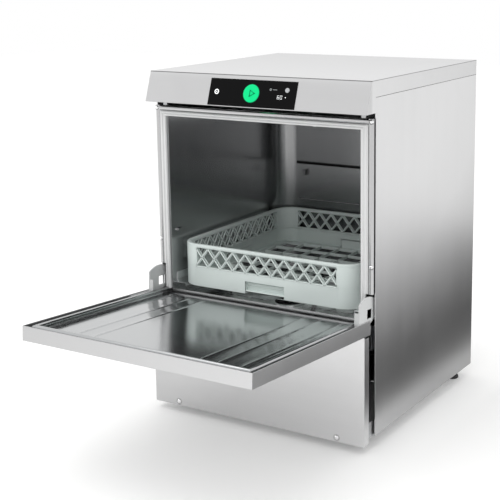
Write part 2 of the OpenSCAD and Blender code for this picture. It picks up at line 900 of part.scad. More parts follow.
module inlet_valve() {
    x = hw - 100;
    z = base_z + 80;
    color("RoyalBlue") {
        box([x - 20, y_back - 60, z - 20], [x + 20, y_back - 22, z + 20]);
        upright([x, y_back - 41, z + 20], 14, 34);
    }
    color("Goldenrod") difference() {
        union() {
            along_y([x, y_back - 22, z], 13.2, 42);
            along_y([x, y_back, z], 18, 4);
        }
        along_y([x, y_back - 10, z], 9, 40);
    }
}

module dosing_pump(x) {
    y = side_y + 40;
    z = base_z + 1.5;
    box([x - 26, y, z], [x + 26, y + 46, z + 62]);
    along_y([x, y - 20, z + 32], 24, 20);
    for (dx = [-12, 12]) upright([x + dx, y - 10, z + 50], 3, 22);
}

module detergent_pump() {
    color("FireBrick") dosing_pump(-hw + 92);
}

module rinse_aid_pump() {
    color("MediumBlue") dosing_pump(-hw + 158);
}

module terminal_block() {
    x = hw - 60;
    z = base_z + 1.5;
    color("Beige") {
        box([x - 30, y_back - 100, z], [x + 30, y_back - 78, z + 22]);
        for (i = [0 : 4])
            box([x - 27 + i * 11, y_back - 96, z + 22], [x - 19 + i * 11, y_back - 82, z + 30]);
    }
}

module cable_gland() {
    color(black) difference() {
        union() {
            along_y([hw - 45, y_back - 12, base_z + 55], 10, 12);
            translate([hw - 45, y_back, base_z + 55]) rotate([-90, 0, 0]) cylinder(r = 14, h = 7, $fn = 6);
            translate([hw - 45, y_back + 7, base_z + 55]) rotate([-90, 0, 0])
                cylinder(r1 = 12, r2 = 9, h = 11);
        }
        along_y([hw - 45, y_back - 20, base_z + 55], 6, 60);
    }
}

// ---------------------------------------------------------------- door and hinge

module hinge_brackets() {
    boss = pin_r + 6;
    foot_y1 = hook_y - spring_r - 1;
    foot_y0 = foot_y1 - 13;
    low = hinge_z - 62;
    color(dark) both_sides() difference() {
        union() {
            yz_plate(bracket_x, bracket_x + bracket_t) union() {
                translate([hinge_y, hinge_z]) circle(boss);
                polygon([
                    [hinge_y - boss * 0.6, hinge_z - boss * 0.8],
                    [hinge_y + boss * 0.6, hinge_z + boss * 0.8],
                    [foot_y1, hinge_z - 8], [foot_y1, low], [foot_y0, low], [foot_y0, hinge_z - 30],
                    [hinge_y + hinge_up + 2.5, hinge_z - hinge_in + 6]
                ]);
            }
            box([post_x + post_w, foot_y0, low], [bracket_x, foot_y1, low + 3]);
            box([post_x + post_w, foot_y0, low], [post_x + post_w + 3, foot_y1, low + 30]);
        }
        along_x([bracket_x - 10, hinge_y, hinge_z], pin_r, 30);
    }
}

module hinge_pins() {
    color(bright) both_sides() {
        along_x([bracket_x - 3, hinge_y, hinge_z], pin_r, lever_x + lever_t + 0.4 - bracket_x + 3);
        along_x([bracket_x - 5, hinge_y, hinge_z], pin_r + 2, 4.8);
    }
}

// the lever's outline about the hinge axis, with the door closed
module lever_outline() {
    steps = 24;
    difference() {
        union() {
            polygon(concat(
                [[0, 0], [0, lever_edge]],
                [for (i = [0 : steps]) let (a = lever_start + (lever_end - lever_start) * i / steps)
                    [lever_r * cos(a), lever_r * sin(a)]]
            ));
            translate([-strap_w / 2, -8]) square([strap_w, strap_l + 8]);
            circle(strap_w / 2);
        }
        translate([20, -23]) square([22, 25]);
        translate([hook_r * cos(lever_end + 8), hook_r * sin(lever_end + 8)]) circle(hook_wire + 1);
        circle(pin_r + pin_gap);
    }
}

module door_lever(side) {
    flange = 2.4;
    color(bright) on_side(side) door_open() {
        translate([0, hinge_y, hinge_z]) {
            yz_plate(lever_x, lever_x + lever_t) lever_outline();
            box([lever_x - flange_w, -2, lever_edge - flange], [lever_x, 40, lever_edge]);
        }
    }
}

module door_springs() {
    top = hook_z - 15;
    x = lever_x + lever_t / 2;
    color(dark) both_sides() {
        upright([x, hook_y, spring_z], spring_r, top - spring_z);
        upright([x + 3.8, hook_y, top - 4], hook_wire, hook_z + hook_wire - top + 4);
        along_x([x - 4.5, hook_y, hook_z], hook_wire, 9.8);
        upright([hw - 7.6 - hook_wire, hook_y, spring_z - 18], hook_wire, 18);
    }
}

module door_skin() {
    color(steel) door_open() difference() {
        box([-door_x, y_front, door_z], [door_x, bead_y, door_top]);
        box([-door_x + sheet, y_front + sheet, door_z + sheet], [door_x - sheet, big, door_top - sheet]);
        corner_cut();
        box([-door_x - eps, pan_y - 1, door_z - eps], [door_x + eps, big, door_z + 2 * sheet]);
        both_sides() box([bracket_x - 1, y_front + 5, door_z - eps],
            [bracket_x + bracket_t + 1, big, door_z + 2 * sheet]);
    }
}

// rounds the door's lower front edge, which passes close to the panel below
module corner_cut() {
    r = 4;
    difference() {
        box([-door_x - eps, y_front - eps, door_z - eps], [door_x + eps, y_front + r, door_z + r]);
        along_x([-door_x - 1, y_front + r, door_z + r], r, 2 * door_x + 2);
    }
}

module liner_ridges() {
    inner = bead_x - bead_r;
    for (in = [32, 84, 124], side = [-1, 1])
        translate([side * (inner - in), pan_y, door_z + 40]) cylinder(r = 1.8, h = door_top - door_z - 80);
}

module door_liner() {
    inner = bead_x - bead_r;
    outer = bead_x + bead_r;
    top = door_top - groove_w - sheet - bead_r;
    low = door_z + sheet + 0.4;
    bead_low = door_z + 34;
    axis_y = bead_y - bead_r;
    groove_y = pan_y - 4;
    edge_x = door_x - sheet - 0.1;
    edge_z = door_top - sheet - 0.1;
    color(bright) door_open() difference() {
        union() {
            box([-inner - sheet, pan_y - sheet, low], [inner + sheet, pan_y, top]);
            difference() {
                liner_ridges();
                box([-big / 2, pan_y - 10, 0], [big / 2, pan_y - sheet, big / 2]);
            }
            both_sides() {
                box([inner, pan_y - sheet, low], [inner + sheet, axis_y, top]);
                upright([bead_x, axis_y, bead_low], bead_r, top - bead_low);
                box([outer - sheet, groove_y - sheet, low], [outer, axis_y, top]);
                box([outer - sheet, groove_y - sheet, low], [edge_x, groove_y, edge_z]);
                translate([bead_x, axis_y, top]) sphere(bead_r);
            }
            box([-inner, pan_y - sheet, top - bead_r], [inner, axis_y, top - bead_r + sheet]);
            along_x([-bead_x, axis_y, top], bead_r, 2 * bead_x);
            box([-outer, groove_y - sheet, top + bead_r - sheet], [outer, axis_y, top + bead_r]);
            box([-outer, groove_y - sheet, top + bead_r - sheet], [outer, groove_y, edge_z]);
        }
        both_sides() box([lever_x - 0.6, -big, 0], [big, big, hinge_z + strap_l + 2]);
        both_sides() box([bracket_x - 7, -big, 0], [big, big, hinge_z + 26]);
        both_sides() box([lever_x - flange_w - 1, -big, 0], [big, big, hinge_z + lever_edge + 3]);
    }
}

module door_magnet() {
    color(black) door_open()
        box([150, y_front + sheet, ceiling_z + 4], [190, y_front + sheet + 10, ceiling_z + 16]);
}

// ---------------------------------------------------------------- rack

module rounded_square(w, r) {
    translate([-w / 2 + r, -w / 2]) square([w - 2 * r, w]);
    translate([-w / 2, -w / 2 + r]) square([w, w - 2 * r]);
    for (x = [-1, 1], y = [-1, 1]) translate([x * (w / 2 - r), y * (w / 2 - r)]) circle(r);
}

module ring(w, r, t, h) {
    linear_extrude(h) difference() {
        rounded_square(w, r);
        rounded_square(w - 2 * t, r - t);
    }
}

// one side's lattice as an outline: X across, Y up
module lattice_outline() {
    pitch = lattice_l / rack_cells;
    full = [pitch / 2, lattice_h / 2];
    open = 1 - lattice_bar / 2 * norm(full) / (full[0] * full[1]);
    difference() {
        translate([-lattice_l / 2, 0]) square([lattice_l, lattice_h]);
        for (i = [0 : rack_cells]) translate([i * pitch - lattice_l / 2, full[1]]) diamond(full * open);
        for (i = [0 : rack_cells - 1], y = [0, lattice_h])
            translate([(i + 0.5) * pitch - lattice_l / 2, y]) diamond(full * open);
    }
}

module diamond(half) {
    polygon([[-half[0], 0], [0, -half[1]], [half[0], 0], [0, half[1]]]);
}

// the recess in the middle of a side's skirt, with the wall that closes it behind
module rack_notch() {
    half = notch_w / 2;
    front = -rack_w / 2;
    box([-half - 2, front + notch_d - 2, 3], [half + 2, front + notch_d, notch_h + 6]);
    box([-half - 2, front + 1, notch_h], [half + 2, front + notch_d, notch_h + 2]);
    for (x = [-half - 2, half]) box([x, front + 1, 0], [x + 2, front + notch_d, notch_h + 2]);
}

module rack_floor() {
    half = floor_w / 2;
    pitch = floor_w / floor_cells * 0.98;
    for (i = [-floor_cells / 2 : floor_cells / 2], turn = [0, 90]) rotate(turn)
        box([-half, i * pitch - 1.5, 0], [half, i * pitch + 1.5, floor_h]);
    translate([0, 0, floor_h - 2]) ring(floor_w + 30, rack_corner - 2, 17, 2);
}

module rack() {
    lattice_top = lattice_z + lattice_h;
    ledge = 4;
    color([0.8, 0.86, 0.83]) translate([0, rack_y, rack_z]) {
        difference() {
            ring(rack_w, rack_corner, wall_t, lattice_z);
            for (turn = [0 : 90 : 270]) rotate(turn)
                box([-notch_w / 2, -rack_w, -eps], [notch_w / 2, -rack_w / 2 + wall_t + 1, notch_h]);
        }
        difference() {
            translate([0, 0, lattice_z - ledge]) ring(rack_w, rack_corner, rim_w, lattice_h + ledge);
            for (turn = [0, 90]) rotate(turn)
                box([-lattice_l / 2, -rack_w, lattice_z], [lattice_l / 2, rack_w, lattice_top]);
        }
        for (turn = [0 : 90 : 270]) rotate(turn) {
            translate([0, 0, lattice_z]) for (y = [0, rim_w - lattice_t])
                xz_plate(y - rack_w / 2, y - rack_w / 2 + lattice_t) lattice_outline();
            rack_notch();
        }
        translate([0, 0, lattice_top]) ring(rack_w, rack_corner, rim_w, rack_rim);
        rack_floor();
    }
}

base_frame();
corner_posts();
feet();
side_panel(-1);  // side_panel_left
side_panel(1);  // side_panel_right
rear_panel();
top_cover();
control_glass();
display_module();
control_board();
start_button();
power_button();
menu_button();
lower_front_panel();
panel_screws();
front_frame();
frame_screws();
door_seal();
door_switch();
wash_chamber();
rear_baffle();
rack_rail(-1);  // rack_rail_left
rack_rail(1);  // rack_rail_right
wash_tank();
tank_strainer();
filter_basket();
sump();
tank_heater();
lower_spindle();
upper_spindle();
lower_wash_arm();
lower_rinse_arm();
upper_wash_arm();
upper_rinse_arm();
wash_pump_volute();
wash_pump_motor();
pump_impeller();
wash_riser();
drain_pump();
drain_hose();
drain_outlet();
boiler();
boiler_heater();
rinse_pipe();
inlet_valve();
detergent_pump();
rinse_aid_pump();
terminal_block();
cable_gland();
hinge_brackets();
hinge_pins();
door_springs();
door_skin();
door_liner();
door_lever(-1);  // door_lever_left
door_lever(1);  // door_lever_right
door_magnet();
rack();
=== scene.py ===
"""The look of an undercounter glass washer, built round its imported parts.

Everything is in metres in the frame of the parts: X to the right, -Y to the front, Z up, floor at zero.
"""

import math

import bmesh
import bpy
import numpy as np
from mathutils import Euler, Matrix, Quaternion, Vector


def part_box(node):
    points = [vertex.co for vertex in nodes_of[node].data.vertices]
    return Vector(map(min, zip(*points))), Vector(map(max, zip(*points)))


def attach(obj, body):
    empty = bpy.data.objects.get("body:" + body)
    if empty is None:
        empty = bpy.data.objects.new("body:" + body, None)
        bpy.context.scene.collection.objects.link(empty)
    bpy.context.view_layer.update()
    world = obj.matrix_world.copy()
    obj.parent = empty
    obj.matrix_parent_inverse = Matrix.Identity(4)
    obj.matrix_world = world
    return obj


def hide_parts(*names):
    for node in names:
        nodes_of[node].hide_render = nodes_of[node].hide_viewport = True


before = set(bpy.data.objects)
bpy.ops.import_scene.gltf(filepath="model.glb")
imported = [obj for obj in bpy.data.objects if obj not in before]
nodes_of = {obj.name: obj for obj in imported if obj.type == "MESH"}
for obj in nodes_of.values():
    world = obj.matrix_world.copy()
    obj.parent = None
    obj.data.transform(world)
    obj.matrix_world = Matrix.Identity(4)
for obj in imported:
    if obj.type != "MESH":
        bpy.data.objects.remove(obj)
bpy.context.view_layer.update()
scene = bpy.context.scene


# ---------------------------------------------------------------- camera
# A long lens stands to the right of the machine's front, a little above the open door, and looks
# slightly down. The shift keeps the machine's uprights where a level camera would put them.

CAMERA_AT = (1.43655, -2.50635, 1.10493)
CAMERA_TURN = math.radians(32.078)
CAMERA_DROP = math.radians(10.57)
CAMERA_ROLL = math.radians(-0.76)

camera = bpy.data.objects.new("camera", bpy.data.cameras.new("camera"))
scene.collection.objects.link(camera)
scene.camera = camera
camera.data.sensor_width = 36.0
camera.data.lens = 83.37
camera.data.shift_x = -0.0439
camera.data.shift_y = -0.1439
camera.location = CAMERA_AT
camera.rotation_mode = "QUATERNION"
camera.rotation_quaternion = (
    Euler((math.pi / 2 - CAMERA_DROP, 0, CAMERA_TURN)).to_quaternion() @ Quaternion((0, 0, 1), CAMERA_ROLL)
)


# ---------------------------------------------------------------- studio
# A plain pale floor runs out to a plain pale surround. Two soft boxes light the machine, one above and
# one at the left of its front, and a level card at its right gives the side panel something to mirror.

FLOOR_HALF = 9.0
FLOOR_COLOUR = (0.90, 0.90, 0.895, 1)
SURROUND_COLOUR = (1.0, 1.0, 1.0, 1)


def grid_mesh(name, *grids):
    """A mesh from grids of points, each (points, closed along u, closed along v): the point at row u and
    column v makes a four-sided face with its neighbours in the next row and the next column."""
    every_point, every_face, start = [], [], 0
    for points, close_u, close_v in grids:
        count_u, count_v = points.shape[:2]
        u, v = np.arange(count_u - (not close_u)), np.arange(count_v - (not close_v))
        uu, vv = np.meshgrid(u, v, indexing="ij")
        next_u, next_v = (uu + 1) % count_u, (vv + 1) % count_v
        corners = [uu * count_v + vv, next_u * count_v + vv, next_u * count_v + next_v, uu * count_v + next_v]
        every_face.append(np.stack(corners, -1).reshape(-1, 4) + start)
        every_point.append(points.reshape(-1, 3))
        start += count_u * count_v
    faces, points = np.concatenate(every_face), np.concatenate(every_point)
    mesh = bpy.data.meshes.new(name)
    mesh.vertices.add(len(points))
    mesh.vertices.foreach_set("co", points.astype(np.float32).ravel())
    mesh.loops.add(faces.size)
    mesh.loops.foreach_set("vertex_index", faces.astype(np.int32).ravel())
    mesh.polygons.add(len(faces))
    mesh.polygons.foreach_set("loop_start", np.arange(0, faces.size, 4, dtype=np.int32))
    mesh.update(calc_edges=True)
    mesh.validate()
    return mesh


def place(name, mesh):
    """A scene object for a mesh whose points already lie in the machine's frame."""
    made = bpy.data.objects.new(name, mesh)
    scene.collection.objects.link(made)
    return made


def new_material(name):
    """An empty node material and its Principled shader."""
    made = bpy.data.materials.new(name)
    made.use_nodes = True
    return made, made.node_tree, made.node_tree.nodes["Principled BSDF"]


floor_edge = np.linspace(-FLOOR_HALF, FLOOR_HALF, 2)
floor_x, floor_y = np.meshgrid(floor_edge, floor_edge, indexing="ij")
floor_points = np.stack([floor_x, floor_y, 0 * floor_x], -1)
floor = place("studio_floor", grid_mesh("studio_floor", (floor_points, False, False)))
floor_paint, tree, shader = new_material("studio_floor")
shader.inputs["Base Color"].default_value = FLOOR_COLOUR
shader.inputs["Roughness"].default_value = 0.6
shader.inputs["Specular IOR Level"].default_value = 0.2
shader.inputs["Emission Color"].default_value = FLOOR_COLOUR
shader.inputs["Emission Strength"].default_value = 0.16
floor.data.materials.append(floor_paint)

world = bpy.data.worlds.new("studio")
scene.world = world
world.use_nodes = True
background = world.node_tree.nodes["Background"]
background.inputs["Color"].default_value = SURROUND_COLOUR
background.inputs["Strength"].default_value = 1.0


def soft_box(name, at, towards, width, height_, power):
    """A rectangular area light at one point that faces another."""
    light = bpy.data.lights.new(name, "AREA")
    light.shape = "RECTANGLE"
    light.size = width
    light.size_y = height_
    light.energy = power
    made = bpy.data.objects.new(name, light)
    scene.collection.objects.link(made)
    made.location = at
    aim = np.array(towards, float) - np.array(at, float)
    made.rotation_mode = "XYZ"
    flat = math.hypot(aim[0], aim[1])
    made.rotation_euler = (math.atan2(flat, -aim[2]), 0, math.atan2(-aim[0], aim[1]))
    return made


soft_box("light_above", (-0.4, -0.9, 3.2), (0, 0, 0.6), 2.6, 2.2, 26)
soft_box("light_left", (-3.2, -0.9, 1.4), (0, 0, 0.5), 1.8, 1.8, 14)


CARD_DARK_RUN, CARD_DARK, CARD_PALE = 0.2, 0.06, 0.9


def dark_card(name, low, high):
    """A level card that only mirrored light sees, as a studio flag shades polished steel: nearly black at
    its near edge and growing paler away from the machine, so that its mirror image fades out."""
    x, y = np.meshgrid(np.linspace(low[0], high[0], 2), np.linspace(low[1], high[1], 2), indexing="ij")
    card = place(name, grid_mesh(name, (np.stack([x, y, 0 * x + low[2]], -1), False, False)))
    paint, tree, shader = new_material(name)
    where, split = tree.nodes.new("ShaderNodeTexCoord"), tree.nodes.new("ShaderNodeSeparateXYZ")
    paler = tree.nodes.new("ShaderNodeMapRange")
    ends = {"From Min": low[0] + CARD_DARK_RUN, "From Max": high[0], "To Min": CARD_DARK, "To Max": CARD_PALE}
    for label, value in ends.items():
        paler.inputs[label].default_value = value
    tree.links.new(where.outputs["Object"], split.inputs[0])
    tree.links.new(split.outputs["X"], paler.inputs["Value"])
    tree.links.new(paler.outputs["Result"], shader.inputs["Base Color"])
    shader.inputs["Roughness"].default_value = 1.0
    shader.inputs["Specular IOR Level"].default_value = 0.0
    card.data.materials.append(paint)
    card.visible_camera = card.visible_diffuse = card.visible_shadow = card.visible_transmission = False


dark_card("card_right", (0.40, -0.35, 0.004), (1.35, 1.9))
scene.view_settings.view_transform = "Standard"


# ---------------------------------------------------------------- finishes of the sheet steel
# All of the casing is austenitic sheet, ground with a belt in one direction. The grain is a fine
# stretched noise, with broader streaks where the belt has passed, and faint wiping marks over it.


def new_group(name, inputs, outputs):
    """A shader node group with the given (name, type, default) inputs and (name, type) outputs."""
    group = bpy.data.node_groups.new(name, "ShaderNodeTree")
    for label, kind, start in inputs:
        made = group.interface.new_socket(label, in_out="INPUT", socket_type=kind)
        if start is not None:
            made.default_value = start
    for label, kind in outputs:
        group.interface.new_socket(label, in_out="OUTPUT", socket_type=kind)
    entry = group.nodes.new("NodeGroupInput")
    leave = group.nodes.new("NodeGroupOutput")
    return group, entry, leave


def node(tree, kind, inputs=None, **settings):
    """One node with its settings, and its inputs set to a value or joined to an output."""
    made = tree.nodes.new(kind)
    for label, value in settings.items():
        setattr(made, label, value)
    for label, value in (inputs or {}).items():
        if isinstance(value, bpy.types.NodeSocket):
            tree.links.new(value, made.inputs[label])
        else:
            made.inputs[label].default_value = value
    return made


FLOAT, VECTOR = "NodeSocketFloat", "NodeSocketVector"

grain, entry, leave = new_group(
    "belt_grain",
    [("Vector", VECTOR, None), ("Lines", FLOAT, 900.0), ("Streaks", FLOAT, 40.0), ("Depth", FLOAT, 0.5)],
    [("Shade", FLOAT), ("Roughness", FLOAT), ("Height", FLOAT)],
)
fine = node(grain, "ShaderNodeTexNoise", {"Vector": entry.outputs["Vector"], "Scale": entry.outputs["Lines"],
                                          "Detail": 3.0, "Roughness": 0.65})
broad = node(grain, "ShaderNodeTexNoise", {"Vector": entry.outputs["Vector"], "Detail": 2.0, "Roughness": 0.5,
                                           "Scale": entry.outputs["Streaks"]})
mixed = node(grain, "ShaderNodeMath", {0: fine.outputs["Fac"], 1: broad.outputs["Fac"]}, operation="ADD")
centred = node(grain, "ShaderNodeMath", {0: mixed.outputs[0], 1: -1.0}, operation="ADD")
scaled = node(grain, "ShaderNodeMath", {0: centred.outputs[0], 1: entry.outputs["Depth"]},
              operation="MULTIPLY")
shade = node(grain, "ShaderNodeMath", {0: scaled.outputs[0], 1: 1.0}, operation="ADD")
grain.links.new(shade.outputs[0], leave.inputs["Shade"])
grain.links.new(scaled.outputs[0], leave.inputs["Roughness"])
grain.links.new(fine.outputs["Fac"], leave.inputs["Height"])

wipes, entry, leave = new_group(
    "wiping_marks",
    [("Vector", VECTOR, None), ("Scale", FLOAT, 7.0), ("Amount", FLOAT, 0.06)],
    [("Shade", FLOAT), ("Roughness", FLOAT)],
)
cloud = node(wipes, "ShaderNodeTexNoise", {"Vector": entry.outputs["Vector"], "Scale": entry.outputs["Scale"],
                                           "Detail": 4.0, "Roughness": 0.6, "Distortion": 0.8})
level = node(wipes, "ShaderNodeMath", {0: cloud.outputs["Fac"], 1: -0.5}, operation="ADD")
amount = node(wipes, "ShaderNodeMath", {0: level.outputs[0], 1: entry.outputs["Amount"]},
              operation="MULTIPLY")
near_one = node(wipes, "ShaderNodeMath", {0: amount.outputs[0], 1: 1.0}, operation="ADD")
wipes.links.new(near_one.outputs[0], leave.inputs["Shade"])
wipes.links.new(amount.outputs[0], leave.inputs["Roughness"])


GRAIN_RELIEF = 0.0004


def steel(name, colour, roughness, stretch, lines=900.0, streaks=40.0, depth=0.04, bump=0.02, fold=0.0,
          painted_shade_from=None, painted_shade_to=None, painted_shade_stops=None, painted_shade_lines=()):
    """Ground sheet steel: stretch squeezes the noise across the grain, fold softens the sharp edges, and a
    fade paints shade and dim mirrored surroundings into the colour, running it from one point to another.
    Each crease is a painted dark line of shade along one axis: the axes that tell the distance, a point on
    it, its width and shade."""
    made, tree, shader = new_material(name)
    where = node(tree, "ShaderNodeTexCoord")
    turned = node(tree, "ShaderNodeMapping", {"Vector": where.outputs["Object"], "Scale": stretch})
    lay = node(tree, "ShaderNodeGroup", node_tree=grain)
    tree.links.new(turned.outputs[0], lay.inputs["Vector"])
    lay.inputs["Lines"].default_value = lines
    lay.inputs["Streaks"].default_value = streaks
    lay.inputs["Depth"].default_value = depth
    rub = node(tree, "ShaderNodeGroup", node_tree=wipes)
    tree.links.new(where.outputs["Object"], rub.inputs["Vector"])
    both = node(tree, "ShaderNodeMath", {0: lay.outputs["Shade"], 1: rub.outputs["Shade"]},
                operation="MULTIPLY")
    value = both.outputs[0]
    # Painted shade: the colour runs darker or lighter along the way from one point to the other.
    if painted_shade_from:
        line = node(tree, "ShaderNodeVectorMath", {0: where.outputs["Object"], 1: painted_shade_from},
                    operation="SUBTRACT")
        way = np.array(painted_shade_to) - np.array(painted_shade_from)
        along = node(tree, "ShaderNodeVectorMath", {0: line.outputs[0], 1: tuple(way / (way @ way))},
                     operation="DOT_PRODUCT")
        ramp = node(tree, "ShaderNodeValToRGB", {"Fac": along.outputs["Value"]})
        stops = ramp.color_ramp.elements
        for i, (position, shade_) in enumerate(painted_shade_stops):
            stop = stops[i] if i < 2 else stops.new(position)
            stop.position = position
            stop.color = (shade_, shade_, shade_, 1)
        faded = node(tree, "ShaderNodeMath", {0: value, 1: ramp.outputs["Color"]}, operation="MULTIPLY")
        value = faded.outputs[0]
    # Painted shade: each crease darkens the colour in a thin line along an edge or round a point.
    for keep, point, wide, dark in painted_shade_lines:
        across = node(tree, "ShaderNodeVectorMath", {0: where.outputs["Object"], 1: keep},
                      operation="MULTIPLY")
        if keep[0]:
            across = node(tree, "ShaderNodeVectorMath", {0: across.outputs[0]}, operation="ABSOLUTE")
        away = node(tree, "ShaderNodeVectorMath", {0: across.outputs[0], 1: point}, operation="DISTANCE")
        line = node(tree, "ShaderNodeMapRange", {"Value": away.outputs["Value"], "From Min": 0.4 * wide,
                                                 "From Max": wide, "To Min": dark, "To Max": 1.0})
        darker = node(tree, "ShaderNodeMath", {0: value, 1: line.outputs["Result"]}, operation="MULTIPLY")
        value = darker.outputs[0]
    tint = node(tree, "ShaderNodeVectorMath", {0: (*colour,), "Scale": value}, operation="SCALE")
    tree.links.new(tint.outputs[0], shader.inputs["Base Color"])
    rough = node(tree, "ShaderNodeMath", {0: lay.outputs["Roughness"], 1: roughness}, operation="ADD")
    rougher = node(tree, "ShaderNodeMath", {0: rough.outputs[0], 1: rub.outputs["Roughness"]},
                   operation="ADD")
    tree.links.new(rougher.outputs[0], shader.inputs["Roughness"])
    shader.inputs["Metallic"].default_value = 1.0
    relief = node(tree, "ShaderNodeBump", {"Height": lay.outputs["Height"], "Strength": bump,
                                           "Distance": GRAIN_RELIEF})
    if fold:
        soft = node(tree, "ShaderNodeBevel", {"Radius": fold}, samples=4)
        tree.links.new(soft.outputs[0], relief.inputs["Normal"])
    tree.links.new(relief.outputs[0], shader.inputs["Normal"])
    return made


def finish(material, *names):
    """Gives the parts of those names this finish."""
    for name in names:
        mesh = nodes_of[name].data
        mesh.materials.clear()
        mesh.materials.append(material)


BRIGHT, MID = (0.70, 0.70, 0.705), (0.50, 0.505, 0.515)
GROUND_UP, GROUND_ACROSS, GROUND_DEEP, NO_GRAIN = (1, 1, 0.02), (0.02, 1, 1), (1, 0.02, 1), (1, 1, 1)
# Painted shade and reflection: the side and rear panels are darker towards the bottom and the back.
casing = steel("steel_casing_upright", BRIGHT, 0.30, GROUND_UP, fold=0.0012,
               painted_shade_from=(0.3, -0.25, 0.80), painted_shade_to=(0.3, 0.30, 0.05),
               painted_shade_stops=[(0.0, 1.0), (1.0, 0.50), (0.30, 0.98), (0.50, 0.92), (0.66, 0.76)])
framework = steel("steel_framework", MID, 0.38, GROUND_ACROSS, fold=0.0008)
# Painted shade: the chamber steel is darker on the rear wall.
chamber_steel = steel("steel_chamber", (0.52, 0.525, 0.53), 0.24, GROUND_UP, streaks=25.0, fold=0.001,
                      painted_shade_from=(0, 0.19, 0), painted_shade_to=(0, 0.257, 0),
                      painted_shade_stops=[(0.0, 1.0), (1.0, 0.52), (0.6, 0.75)])
bright_steel = steel("steel_polished", (0.86, 0.86, 0.865), 0.12, GROUND_ACROSS, depth=0.05, fold=0.001)
dark_steel = steel("steel_zinc", (0.36, 0.37, 0.385), 0.42, NO_GRAIN, lines=300.0, fold=0.0006)


# ---------------------------------------------------------------- base frame, posts and feet
# A folded tray closes the bottom and carries the posts. Four screwed feet with rubber pads hold it
# off the floor; the front pair stands further in, behind the toe edge of the tray.

finish(framework, "base_frame", "corner_posts", "terminal_block")
SKIN_RELIEF = 0.0005


def moulded(name, colour, roughness, speckle=600.0, mottle=12.0, depth=0.06, bump=0.05, fold=0.0,
            specular=0.5):
    """Rubber, paint or moulded plastic: a fine speckle of the mould's skin and a slow change of shade."""
    made, tree, shader = new_material(name)
    where = node(tree, "ShaderNodeTexCoord")
    skin = node(tree, "ShaderNodeTexNoise",
                {"Vector": where.outputs["Object"], "Scale": speckle, "Detail": 2.0})
    slow = node(tree, "ShaderNodeTexNoise",
                {"Vector": where.outputs["Object"], "Scale": mottle, "Detail": 3.0})
    added = node(tree, "ShaderNodeMath", {0: skin.outputs["Fac"], 1: slow.outputs["Fac"]}, operation="ADD")
    level = node(tree, "ShaderNodeMath", {0: added.outputs[0], 1: depth, 2: 1.0 - depth},
                 operation="MULTIPLY_ADD")
    tint = node(tree, "ShaderNodeVectorMath", {0: (*colour,), "Scale": level.outputs[0]}, operation="SCALE")
    tree.links.new(tint.outputs[0], shader.inputs["Base Color"])
    rough = node(tree, "ShaderNodeMath", {0: slow.outputs["Fac"], 1: 0.12, 2: roughness - 0.06},
                 operation="MULTIPLY_ADD")
    tree.links.new(rough.outputs[0], shader.inputs["Roughness"])
    shader.inputs["Specular IOR Level"].default_value = specular
    relief = node(tree, "ShaderNodeBump", {"Height": skin.outputs["Fac"], "Strength": bump,
                                           "Distance": SKIN_RELIEF})
    if fold:
        soft = node(tree, "ShaderNodeBevel", {"Radius": fold}, samples=4)
        tree.links.new(soft.outputs[0], relief.inputs["Normal"])
    tree.links.new(relief.outputs[0], shader.inputs["Normal"])
    return made


foot_rubber = moulded("rubber_foot", (0.02, 0.02, 0.021), 0.6, fold=0.002)
finish(foot_rubber, "feet")


# ---------------------------------------------------------------- casing
# Two side panels and a rear panel hang on the posts, and the cover with its sloping fascia drops
# over them. The panels are ground upright, the cover from side to side.

finish(casing, "side_panel_left", "side_panel_right", "rear_panel")
SIDE_X, SIDE_FRONT_Y, BACK_Y, SEAM_Z = 0.300, -0.262, 0.307, 0.813
COVER_TOP, FASCIA_TOP_Y, FASCIA_LOW_Y, FASCIA_LOW_Z = 0.850, -0.282, -0.307, 0.778
# Painted shade on the cover: dark lines along its front and side folds, the fascia darker than the top, and
# the top darker towards the back.
painted_front_fold_shade = ((0, 1, 1), (0, FASCIA_TOP_Y, COVER_TOP), 0.0026, 0.25)
painted_side_fold_shade = ((1, 0, 1), (SIDE_X, 0, COVER_TOP), 0.0020, 0.45)
cover_steel = steel("steel_cover", BRIGHT, 0.30, GROUND_ACROSS, fold=0.0015, painted_shade_from=(0, -0.286, 0),
                    painted_shade_to=(0, BACK_Y, 0), painted_shade_stops=[(0.0, 0.84), (1.0, 0.88), (0.015, 1.0)],
                    painted_shade_lines=[painted_front_fold_shade, painted_side_fold_shade])
finish(cover_steel, "top_cover")
SCREW_X, SCREW_Z, PANEL_X = 0.224, 0.028, 0.296
# Painted shade on the lower panel: dark round each screw, and darker towards the left.
painted_screw_shade = ((1, 0, 1), (SCREW_X, 0, SCREW_Z), 0.0095, 0.30)
panel_steel = steel("steel_lower_panel", (0.72, 0.72, 0.725), 0.30, GROUND_ACROSS, fold=0.0015,
                    painted_shade_from=(-PANEL_X, 0, 0), painted_shade_to=(PANEL_X, 0, 0),
                    painted_shade_stops=[(0.0, 0.74), (1.0, 0.96)], painted_shade_lines=[painted_screw_shade])
finish(panel_steel, "lower_front_panel")
finish(bright_steel, "panel_screws", "frame_screws")


